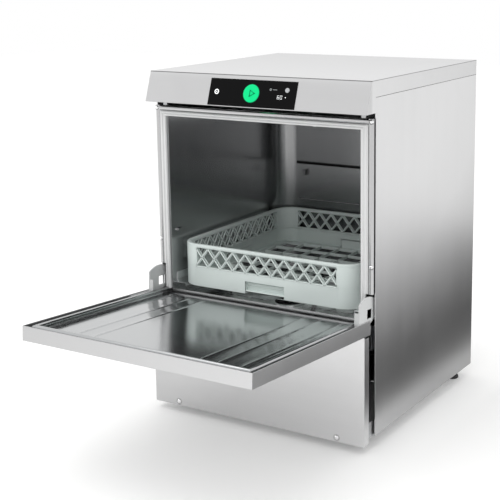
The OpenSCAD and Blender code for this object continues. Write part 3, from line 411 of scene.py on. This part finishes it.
def tube(path, radius, steps=8, closed=False):
    """A round section carried along straight runs: at each point of the path the section stands square to
    the mean of the two runs that meet there, with its first axis level."""
    path = np.asarray(path, float)
    run = np.roll(path, -1, 0) - path if closed else np.diff(path, axis=0, append=2 * path[-1:] - path[-2:-1])
    run /= np.linalg.norm(run, axis=1, keepdims=True)
    before = np.roll(run, 1, 0)
    if not closed:
        before[0] = run[0]
    mean = run + before
    mean /= np.linalg.norm(mean, axis=1, keepdims=True)
    up = np.where(np.abs(mean[:, 2:]) > 0.9, [[0.0, 1.0, 0.0]], [[0.0, 0.0, 1.0]])
    side = np.cross(mean, up)
    side /= np.linalg.norm(side, axis=1, keepdims=True)
    rise = np.cross(side, mean)
    widen = 1 / np.sqrt(np.clip((1 + (run * before).sum(1)) / 2, 0.2, 1))
    turn = np.linspace(0, 2 * math.pi, steps, endpoint=False)
    cos, sin = np.cos(turn)[None, :, None], np.sin(turn)[None, :, None]
    ring = cos * (side * widen[:, None])[:, None] + sin * rise[:, None]
    points = path[:, None] + radius * ring
    if closed:
        return points, True, True
    return cap_rows(points), False, True


def cap_rows(points):
    """The grid with its first and last rows drawn in to their middles, which closes both ends."""
    first = np.broadcast_to(points[:1].mean(1, keepdims=True), points[:1].shape)
    last = np.broadcast_to(points[-1:].mean(1, keepdims=True), points[-1:].shape)
    return np.concatenate([first, points, last])


def weld(mesh, distance=1e-5):
    """Merges points that coincide, such as those of a closed end, and turns all faces outwards."""
    made = bmesh.new()
    made.from_mesh(mesh)
    bmesh.ops.remove_doubles(made, verts=made.verts, dist=distance)
    bmesh.ops.recalc_face_normals(made, faces=made.faces)
    made.to_mesh(mesh)
    made.free()
    return mesh


def smooth(mesh, sharp_above=math.radians(35)):
    """Shades the mesh smooth, but keeps edges that turn more than this."""
    mesh.shade_smooth()
    mesh.set_sharp_from_angle(angle=sharp_above)
    return mesh


def add_piece(name, mesh, material, body):
    """A finished piece that rides on a body."""
    made = place(name, smooth(weld(mesh)))
    mesh.materials.append(material)
    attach(made, body)
    return made


seam_shadow = moulded("seam_shadow", (0.03, 0.03, 0.032), 0.7, bump=0.0)
SEAM_R, SEAM_IN, SEAM_DOWN = 0.0006, 0.0007, 0.0004
seam_path = [[(side * (SIDE_X - SEAM_IN), y, SEAM_Z - SEAM_DOWN) for y in (SIDE_FRONT_Y, BACK_Y)]
             for side in (-1, 1)]
add_piece("cover_seam", grid_mesh("cover_seam", *[tube(path, SEAM_R) for path in seam_path]),
          seam_shadow, "cabinet")


# ---------------------------------------------------------------- chamber
# One folded and welded box with round rear corners. A baffle covers the upper half of its rear wall,
# and two angle rails along its sides carry the rack.

BAFFLE_LOW_Z = 0.5525
# Painted shade: the baffle is a much darker copy of the chamber steel, with a painted shadow line along its
# lower edge.
painted_baffle_edge_shade = ((0, 0, 1), (0, 0, BAFFLE_LOW_Z), 0.0065, 0.05)
painted_dark_baffle_steel = steel("steel_baffle_painted_dark", (0.20, 0.202, 0.205), 0.24, GROUND_UP, streaks=25.0, fold=0.001,
                     painted_shade_lines=[painted_baffle_edge_shade])
finish(chamber_steel, "wash_chamber", "wash_tank", "upper_spindle")
finish(painted_dark_baffle_steel, "rear_baffle")
finish(bright_steel, "rack_rail_left", "rack_rail_right", "tank_strainer", "filter_basket")


# ---------------------------------------------------------------- spray arms and works
# Pressed steel arms turn on moulded spindles. Below the tank stand the wash and drain pumps, the
# boiler, the two dosing pumps and the hoses that join them.

black_plastic = moulded("plastic_black", (0.025, 0.025, 0.027), 0.42, fold=0.001)
pale_plastic = moulded("plastic_pale", (0.62, 0.63, 0.62), 0.45, fold=0.001)
hose_rubber = moulded("rubber_hose", (0.03, 0.03, 0.032), 0.55)
motor_paint = moulded("paint_motor", (0.10, 0.11, 0.13), 0.4, fold=0.001)
dosing_red = moulded("plastic_red", (0.5, 0.03, 0.03), 0.4, fold=0.001)
dosing_blue = moulded("plastic_blue", (0.03, 0.10, 0.42), 0.4, fold=0.001)
brass = steel("metal_brass", (0.78, 0.57, 0.27), 0.3, NO_GRAIN, lines=400.0, fold=0.0005)
copper = steel("metal_copper", (0.80, 0.42, 0.28), 0.3, NO_GRAIN, lines=400.0, fold=0.0005)
finish(bright_steel, "lower_wash_arm", "lower_rinse_arm", "upper_wash_arm", "upper_rinse_arm", "wash_riser")
finish(black_plastic, "lower_spindle", "pump_impeller", "wash_pump_volute", "sump",
       "drain_pump", "cable_gland", "display_module", "door_switch")
finish(motor_paint, "wash_pump_motor")
finish(chamber_steel, "boiler")
finish(copper, "tank_heater", "boiler_heater")
finish(brass, "inlet_valve")
finish(hose_rubber, "drain_hose", "drain_outlet", "rinse_pipe")
finish(dosing_red, "detergent_pump")
finish(dosing_blue, "rinse_aid_pump")
finish(pale_plastic, "control_board")


# ---------------------------------------------------------------- front frame and seal
# A half-round rail frames the opening, screwed on at its corners and middles. The seal beside it is
# white silicone with two soft ridges.

seal_rubber = moulded("rubber_seal", (0.74, 0.745, 0.745), 0.5, fold=0.001)
RAIL_Y, RAIL_TOP = -0.268, 0.7665
# Painted shade: a dark line along the rail's top edge.
painted_rail_top_shade = ((0, 1, 1), (0, RAIL_Y, RAIL_TOP), 0.0016, 0.3)
rail_steel = steel("steel_rail", (0.52, 0.52, 0.525), 0.22, GROUND_UP, depth=0.05, fold=0.001,
                   painted_shade_lines=[painted_rail_top_shade])
finish(rail_steel, "front_frame")
finish(seal_rubber, "door_seal")


# ---------------------------------------------------------------- controls
# A black glass insert is bonded into the fascia. A lit start button, a power button and a menu button
# stand in holes through it, and a display shines from behind, beside marks printed on its face.

glass_black = moulded("glass_black", (0.0022, 0.0022, 0.0025), 0.08, bump=0.0, depth=0.02, specular=0.09)
finish(glass_black, "control_glass", "power_button")
FASCIA_TILT = math.atan2(FASCIA_TOP_Y - FASCIA_LOW_Y, COVER_TOP - FASCIA_LOW_Z)


def on_fascia(across, down, out):
    """Points on the slope from their distance across it, down it from the cover's edge, and out of it."""
    across, down, out = np.broadcast_arrays(across, down, out)
    y = FASCIA_TOP_Y - down * math.sin(FASCIA_TILT) - out * math.cos(FASCIA_TILT)
    z = COVER_TOP - down * math.cos(FASCIA_TILT) + out * math.sin(FASCIA_TILT)
    return np.stack([across, y, z], -1)


def printed_ring(centre, inner, outer, out, steps=48):
    """A flat ring on the slope with a low edge: four circles, inner wall, face, outer wall."""
    turn = np.linspace(0, 2 * math.pi, steps, endpoint=False)[:, None]
    radius = np.array([inner, inner, outer, outer])[None]
    level = np.array([out[0], out[1], out[1], out[0]])[None]
    points = on_fascia(centre[0] + radius * np.cos(turn), centre[1] - radius * np.sin(turn), level + 0 * turn)
    return points, True, True


BAR_GAP = 0.00006


def printed_bar(low, high, out):
    """A flat bar on the slope between two corners (across, down), a hair short of them on all sides."""
    left, right = low[0] + BAR_GAP, high[0] - BAR_GAP
    top, bottom = low[1] + BAR_GAP, high[1] - BAR_GAP
    across = np.array([left, right, right, left])[None]
    down = np.array([bottom, bottom, top, top])[None]
    return cap_rows(on_fascia(across, down, np.array(out)[:, None])), False, True


def lit(name, colour, strength, base=None):
    """A lit symbol behind the glass: the light is a little uneven, as from one lamp at its middle."""
    made, tree, shader = new_material(name)
    where = node(tree, "ShaderNodeTexCoord")
    cloud = node(tree, "ShaderNodeTexNoise",
                 {"Vector": where.outputs["Object"], "Scale": 60.0, "Detail": 2.0})
    level = node(tree, "ShaderNodeMath", {0: cloud.outputs["Fac"], 1: 0.16, 2: 0.92},
                 operation="MULTIPLY_ADD")
    tint = node(tree, "ShaderNodeVectorMath", {0: colour, "Scale": level.outputs[0]}, operation="SCALE")
    tree.links.new(tint.outputs[0], shader.inputs["Emission Color"])
    shader.inputs["Emission Strength"].default_value = strength
    shader.inputs["Base Color"].default_value = (*(base or colour), 1)
    shader.inputs["Roughness"].default_value = 0.35
    shader.inputs["Specular IOR Level"].default_value = 0.12
    return made


START_AT, POWER_AT = (-0.0015, 0.0423), (-0.096, 0.0423)
green_light = lit("button_green", (0.002, 0.70, 0.24), 0.34, (0.002, 0.52, 0.18))
finish(green_light, "start_button")
dark_green = lit("symbol_green", (0.002, 0.10, 0.045), 0.3, (0.002, 0.05, 0.03))
glow_green = lit("glow_green", (0.002, 0.10, 0.045), 0.55, (0.002, 0.02, 0.01))
symbol_white = lit("symbol_white", (0.80, 0.82, 0.82), 0.85)
symbol_grey = lit("symbol_grey", (0.16, 0.17, 0.17), 0.8)
menu_white = lit("button_white", (0.34, 0.35, 0.36), 0.35)
finish(menu_white, "menu_button")

# The play triangle on the start button and the thin glow round it, then the power ring with its dot.
TRIANGLE_R, TRIANGLE_ASIDE, TRIANGLE_OUT, TRIANGLE_LINE = 0.0085, 0.001, 0.0018, 0.0010
corner_turn = np.radians([0, 120, 240])
play_path = on_fascia(START_AT[0] + TRIANGLE_ASIDE + TRIANGLE_R * np.cos(corner_turn),
                      START_AT[1] + TRIANGLE_R * np.sin(corner_turn), TRIANGLE_OUT)
add_piece("play_symbol", grid_mesh("play_symbol", tube(play_path, TRIANGLE_LINE, closed=True)), dark_green,
          "start_button")
ON_BUTTON, ON_GLASS = (0.0016, 0.0020), (0.0002, 0.0005)
GLOW_INNER, GLOW_OUTER = 0.0212, 0.0226
glow = printed_ring(START_AT, GLOW_INNER, GLOW_OUTER, ON_GLASS)
add_piece("start_glow", grid_mesh("start_glow", glow), glow_green, "cabinet")
PINHOLE, POWER_DOT, POWER_INNER, POWER_OUTER = 0.0001, 0.0014, 0.0040, 0.0060
power_marks = [printed_ring(POWER_AT, POWER_INNER, POWER_OUTER, ON_BUTTON),
               printed_ring(POWER_AT, PINHOLE, POWER_DOT, ON_BUTTON)]
add_piece("power_symbol", grid_mesh("power_symbol", *power_marks), symbol_white,
          "power_button")

# The display: two digits with a dot, and over them a small disc and a bar.
LINE, DIGIT_WIDE, DIGIT_TALL, DIGIT_TOP, DIGITS_AT = 0.0007, 0.0052, 0.0085, 0.0435, (0.0690, 0.0766)
SIX, NOUGHT = (0, 2, 3, 4, 5, 6), (0, 1, 2, 3, 4, 5)


def seven_bars(left, lit_bars):
    """A digit drawn with seven bars in the usual order: top, right pair, bottom, left pair, middle."""
    top, mid, low = DIGIT_TOP, DIGIT_TOP + DIGIT_TALL / 2, DIGIT_TOP + DIGIT_TALL
    right = left + DIGIT_WIDE
    bars = [((left, top), (right, top + LINE)), ((right - LINE, top), (right, mid)),
            ((right - LINE, mid), (right, low)), ((left, low - LINE), (right, low)),
            ((left, mid), (left + LINE, low)), ((left, top), (left + LINE, mid)),
            ((left, mid - LINE / 2), (right, mid + LINE / 2))]
    return [printed_bar(*bars[i], ON_GLASS) for i in lit_bars]


DOT_AT, DOT_R = (0.0905, 0.0475), 0.0011
digits = seven_bars(DIGITS_AT[0], SIX) + seven_bars(DIGITS_AT[1], NOUGHT)
digits.append(printed_ring(DOT_AT, PINHOLE, DOT_R, ON_GLASS))
add_piece("display_digits", grid_mesh("display_digits", *digits), symbol_white, "cabinet")
DISC_AT, DISC_INNER, DISC_OUTER = (0.049, 0.0308), 0.0012, 0.0028
BAR_FROM, BAR_TO = (0.055, 0.0301), (0.066, 0.0316)
marks = [printed_ring(DISC_AT, DISC_INNER, DISC_OUTER, ON_GLASS), printed_bar(BAR_FROM, BAR_TO, ON_GLASS)]
add_piece("display_marks", grid_mesh("display_marks", *marks), symbol_grey, "cabinet")


# ---------------------------------------------------------------- hinge and door
# The door turns on two pins; levers at its ends stretch two springs. Its skin is a pan of ground
# sheet round a polished liner with a rolled bead.

finish(dark_steel, "hinge_brackets", "hinge_pins", "door_springs", "door_magnet")
DOOR_X = 0.295
# Painted shade: the door skin runs darker towards its left side.
door_steel = steel("steel_door", (0.62, 0.62, 0.625), 0.30, GROUND_ACROSS, fold=0.0015,
                   painted_shade_from=(-DOOR_X, 0, 0), painted_shade_to=(DOOR_X, 0, 0), painted_shade_stops=[(0.0, 0.86), (1.0, 1.0)])
finish(door_steel, "door_skin")
liner_steel = steel("steel_liner", (0.49, 0.50, 0.505), 0.16, GROUND_DEEP, depth=0.03)
HINGE_Y, HINGE_Z = -0.289, 0.296
DOOR_ANGLE = math.radians(86.3)


def door_open(points):
    """Door points from their closed place into the open one: a turn about the hinge's level axis."""
    y, z = points[..., 1] - HINGE_Y, points[..., 2] - HINGE_Z
    cos, sin = math.cos(DOOR_ANGLE), math.sin(DOOR_ANGLE)
    return np.stack([points[..., 0], HINGE_Y + y * cos - z * sin, HINGE_Z + y * sin + z * cos], -1)


def arc(centre, radius, first, last, points):
    """Part of a circle in plan, from one angle to another."""
    turn = np.linspace(first, last, points)
    return np.stack([centre[0] + radius * np.cos(turn), centre[1] + radius * np.sin(turn)], -1)


# The rim of the liner in plan, from the pan outwards: foot, bead, groove and flat edge.
PAN_Y, BEAD_Y, BEAD_X, BEAD_R = -0.286, -0.2795, 0.2753, 0.0055
RIM_X, RIM_Y, RIM_TOP, LOW_Z = 0.2936, -0.290, 0.7716, 0.2838
PAN_R, GROOVE_R, SHEET_T = 0.003, 0.002, 0.001
BEAD_LOW_Z, EDGE_LOW_Z, BEAD_INSET, EDGE_INSET = 0.338, 0.408, 0.0150, 0.0042
inner_x, outer_x = BEAD_X - BEAD_R, BEAD_X + BEAD_R
edge_of_pan = inner_x - PAN_R
pan_foot = arc((edge_of_pan, PAN_Y + PAN_R), PAN_R, -math.pi / 2, 0, 5)
around_bead = arc((BEAD_X, BEAD_Y), BEAD_R, math.pi, 0, 13)
groove = arc((outer_x + GROOVE_R, RIM_Y + GROOVE_R), GROOVE_R, math.pi, 1.5 * math.pi, 5)
section = np.concatenate([pan_foot, around_bead, groove, [[RIM_X, RIM_Y]]])
inset = RIM_X - section[:, 0]
low_end = np.select([inset < EDGE_INSET, inset < BEAD_INSET], [EDGE_LOW_Z, BEAD_LOW_Z], LOW_Z)
corners = [(-1, low_end), (-1, RIM_TOP - inset), (1, RIM_TOP - inset), (1, low_end)]
rim = np.stack([np.stack([side * section[:, 0], section[:, 1], z], -1) for side, z in corners])
RUN_STEPS = 12
runs = [np.linspace(a, b, RUN_STEPS, endpoint=False) for a, b in zip(rim[:-1], rim[1:])]
rim_run = np.concatenate(runs + [rim[-1:]])

# The pan: flat, with three soft ridges along each side that fade out before its ends.
RIDGES, RIDGE_HALF, RIDGE_TALL = np.array([0.033, 0.088, 0.130]), 0.0045, 0.0011
RIDGE_LOW, RIDGE_TOP, RIDGE_FADE = 0.310, 0.725, 0.020
ridge_x = np.concatenate([inner_x - RIDGES, RIDGES - inner_x])
across = [x + np.linspace(-RIDGE_HALF, RIDGE_HALF, 9) for x in ridge_x]
across = np.unique(np.concatenate([np.linspace(-edge_of_pan, edge_of_pan, 25), *across]))
up_pan = np.concatenate([np.linspace(LOW_Z, 0.345, 10), np.linspace(0.35, 0.70, 12),
                         np.linspace(0.705, RIM_TOP - inset[0], 10)])
px, pz = np.meshgrid(across, up_pan, indexing="ij")
near = np.clip(1 - np.abs(px[..., None] - ridge_x) / RIDGE_HALF, 0, 1)
hump = (near * near * (3 - 2 * near)).max(-1)
fade_low = np.clip((pz - RIDGE_LOW) / RIDGE_FADE, 0, 1)
fade_top = np.clip((RIDGE_TOP - pz) / RIDGE_FADE, 0, 1)
pan = np.stack([px, PAN_Y + RIDGE_TALL * hump * fade_low * fade_top, pz], -1)
liner_mesh = grid_mesh("liner", (door_open(rim_run), False, False), (door_open(pan)[::-1], False, False))
liner = add_piece("liner", liner_mesh, liner_steel, "door")
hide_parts("door_liner")
wall = liner.modifiers.new("sheet", "SOLIDIFY")
wall.thickness = SHEET_T
wall.offset = 0
lever_cast = moulded("cast_lever", (0.60, 0.61, 0.61), 0.4, fold=0.001)
finish(lever_cast, "door_lever_left", "door_lever_right")


# ---------------------------------------------------------------- rack
# A square rack moulded in one piece from pale green-grey plastic: a solid skirt with a finger notch in
# each side, a lattice of slanting bars between solid corners, a round-edged rim and a grid floor.

rack_plastic = moulded("plastic_rack", (0.70, 0.77, 0.745), 0.42)
rack_low, rack_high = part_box("rack")
RACK_Y, RACK_Z = (rack_low.y + rack_high.y) / 2, rack_low.z
RACK_HALF, RACK_CORNER, RACK_TALL = 0.250, 0.052, 0.106
WALL, RIM_WIDE, RIM_TALL, SKIRT = 0.003, 0.011, 0.009, 0.051
LATTICE_HALF, CELLS, BAR = 0.200, 11, 0.0034
LATTICE_TALL = RACK_TALL - RIM_TALL - SKIRT
NOTCH_HALF, NOTCH_TALL, NOTCH_DEEP = 0.055, 0.031, 0.014


def rounded_section(width, height, radius, steps=3):
    """A closed rectangle with round corners, from the outer face inwards (0 to -width) and up (0 to
    height): a quarter circle round each corner's centre."""
    right, left, top, low = -radius, radius - width, height - radius, radius
    corners = [(right, top), (left, top), (left, low), (right, low)]
    return np.concatenate([arc(corner, radius, k * math.pi / 2, (k + 1) * math.pi / 2, steps + 1)
                           for k, corner in enumerate(corners)])


def quarter_turns(points):
    """The same points on all four sides of the rack: each a quarter turn about its upright axis."""
    made = []
    for quarter in range(4):
        cos, sin = math.cos(quarter * math.pi / 2), math.sin(quarter * math.pi / 2)
        x, y = points[..., 0], points[..., 1]
        turned = np.stack([x * cos - y * sin, x * sin + y * cos], -1)
        made.append(np.concatenate([turned, points[..., 2:]], -1))
    return made


def rack_side_path(with_notch=False, steps=10):
    """The rack's outline: on each side a straight run, then a quarter circle; gives points, outward
    directions and whether the point lies in the middle notch."""
    turn = np.linspace(0, math.pi / 2, steps + 1)
    run = RACK_HALF - RACK_CORNER
    straight = [-NOTCH_HALF, -NOTCH_HALF, NOTCH_HALF, NOTCH_HALF] if with_notch else [0.0]
    inside = [0, 1, 1, 0] if with_notch else [0]
    x = np.concatenate([straight, run + RACK_CORNER * np.sin(turn)])
    y = np.concatenate([np.full(len(straight), -RACK_HALF), -run - RACK_CORNER * np.cos(turn)])
    nx = np.concatenate([np.zeros(len(straight)), np.sin(turn)])
    ny = np.concatenate([-np.ones(len(straight)), -np.cos(turn)])
    in_notch = np.concatenate([inside, np.zeros(steps + 1)])
    sides, ways = quarter_turns(np.stack([x, y], -1)), quarter_turns(np.stack([nx, ny], -1))
    return np.concatenate(sides), np.concatenate(ways), np.tile(in_notch, 4)


def carried(profile, path, low, lift=None):
    """A section carried round the outline: inward distance along the outward direction, height from low."""
    points, outward, in_notch = path
    flat = points[:, None] + profile[None, :, :1] * outward[:, None]
    z = np.broadcast_to(profile[None, :, 1:] + low, (*flat.shape[:2], 1)).copy()
    if lift is not None:
        z = np.where(in_notch[:, None, None] > 0, np.maximum(z, lift), z)
    return np.concatenate([flat, z], -1)


def slab(low, high, radius=0.0008):
    """A straight bar with soft long edges: a rounded section in X-Z carried along Y."""
    profile = rounded_section(high[0] - low[0], high[2] - low[2], radius, 2)
    x, z = profile[:, 0] + high[0], profile[:, 1] + low[2]
    y = np.array([low[1], high[1]])
    return cap_rows(np.stack(np.broadcast_arrays(x[None], y[:, None], z[None]), -1))


# Rim, ledge under the lattice, and skirt, each one closed ring round the rack.
RIM_R, LEDGE, LEDGE_R, EDGE_R, SOFT = 0.0025, 0.004, 0.0015, 0.001, 0.001
plain_path = rack_side_path()
rim_ring = carried(rounded_section(RIM_WIDE, RIM_TALL, RIM_R), plain_path, RACK_TALL - RIM_TALL)
ledge_ring = carried(rounded_section(RIM_WIDE, LEDGE, LEDGE_R), plain_path, SKIRT - LEDGE)
skirt_ring = carried(rounded_section(WALL, SKIRT - SOFT, EDGE_R), rack_side_path(True), 0.0, NOTCH_TALL)
grids = [(ring, True, True) for ring in (rim_ring, ledge_ring, skirt_ring)]

# Solid posts round the corners, between the ends of the lattices.
POST_IN, POST_LAP = 0.004, 0.003
corner_turn = np.linspace(0, math.pi / 2, 11)
run = RACK_HALF - RACK_CORNER
sin, cos = np.sin(corner_turn), np.cos(corner_turn)
post_x = np.concatenate([[LATTICE_HALF - POST_IN], run + RACK_CORNER * sin, [RACK_HALF]])
post_y = np.concatenate([[-RACK_HALF], -run - RACK_CORNER * cos, [-LATTICE_HALF + POST_IN]])
post_way = np.stack([np.concatenate([[0], sin, [1]]), np.concatenate([[-1], -cos, [0]])], -1)
post_path = (np.stack([post_x, post_y], -1), post_way, np.zeros(len(post_x)))
post_section = rounded_section(RIM_WIDE, LATTICE_TALL + 2 * POST_LAP, EDGE_R)
post = cap_rows(carried(post_section, post_path, SKIRT - POST_LAP))
grids += [(p, False, True) for p in quarter_turns(post)]

# Two layers of slanting bars on each side, each bar a flat eight-sided section.
BAR_T, BAR_LAP = 0.0015, 0.001
pitch = 2 * LATTICE_HALF / CELLS
slant = math.hypot(pitch, LATTICE_TALL)
along = np.array([pitch, LATTICE_TALL]) / slant
quarter_bar = np.array([[1, 0.6], [0.7, 1]])
eight = np.concatenate([quarter_bar * [a, b] for a, b in ((1, 1), (1, -1), (-1, -1), (-1, 1))])
eight = eight[np.argsort(np.arctan2(eight[:, 1], eight[:, 0]))] * [BAR / 2, BAR_T]
reach = np.array([-1, 1])[:, None] * (slant / 2 + BAR_LAP)
for cell in range(CELLS):
    middle = -LATTICE_HALF + (cell + 0.5) * pitch
    for lean in (-1, 1):
        for depth in (BAR_T, RIM_WIDE - BAR_T):
            x = middle + lean * along[0] * reach + lean * along[1] * eight[None, :, 0]
            z = SKIRT + LATTICE_TALL / 2 + along[1] * reach - along[0] * eight[None, :, 0]
            y = -RACK_HALF + depth + eight[None, :, 1] + 0 * reach
            grids += [(p, False, True) for p in quarter_turns(cap_rows(np.stack([x, y, z], -1)))]

# The finger notch in the middle of each side: back wall, roof, two cheeks and three grip ribs.
NOTCH_T, NOTCH_LIP, RIB_T, BACK_LOW = 0.002, 0.001, 0.004, 0.003
front, back, roof = -RACK_HALF + NOTCH_LIP, -RACK_HALF + NOTCH_DEEP, NOTCH_TALL + NOTCH_T
cheek = NOTCH_HALF + NOTCH_T
notch = [slab((-cheek, back - NOTCH_T, BACK_LOW), (cheek, back, roof + LEDGE)),
         slab((-cheek, front, NOTCH_TALL), (cheek, back, roof))]
notch += [slab((x, front, 0), (x + NOTCH_T, back, roof)) for x in (-cheek, NOTCH_HALF)]
notch += [slab((-NOTCH_HALF, back - NOTCH_LIP - RIB_T, z), (NOTCH_HALF, back - NOTCH_LIP, z + NOTCH_T))
          for z in (0.008, 0.016, 0.024)]
for part in notch:
    grids += [(p, False, True) for p in quarter_turns(part)]

# The floor: nine bars each way on a flat border.
FLOOR_HALF_W, FLOOR_BARS, FLOOR_TALL, FLOOR_BAR, FLOOR_FILL = 0.233, 9, 0.008, 0.0015, 0.98
BORDER_WIDE, BORDER_T, BORDER_R = 0.019, 0.002, 0.0006
step = 2 * FLOOR_HALF_W / (FLOOR_BARS - 1) * FLOOR_FILL
for i in range(FLOOR_BARS):
    at = (i - (FLOOR_BARS - 1) / 2) * step
    bar = slab((at - FLOOR_BAR, -FLOOR_HALF_W, 0), (at + FLOOR_BAR, FLOOR_HALF_W, FLOOR_TALL))
    grids += [(p, False, True) for p in quarter_turns(bar)[:2]]
border = rounded_section(BORDER_WIDE, BORDER_T, BORDER_R, 2) - [WALL * 0.6, 0]
grids.append((carried(border, plain_path, FLOOR_TALL - BORDER_T), True, True))
shift = np.array([0, RACK_Y, RACK_Z])
rack_mesh = grid_mesh("rack_moulding", *[(points + shift, u, v) for points, u, v in grids])
rack_piece = add_piece("rack_moulding", rack_mesh, rack_plastic, "rack")
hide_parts("rack")
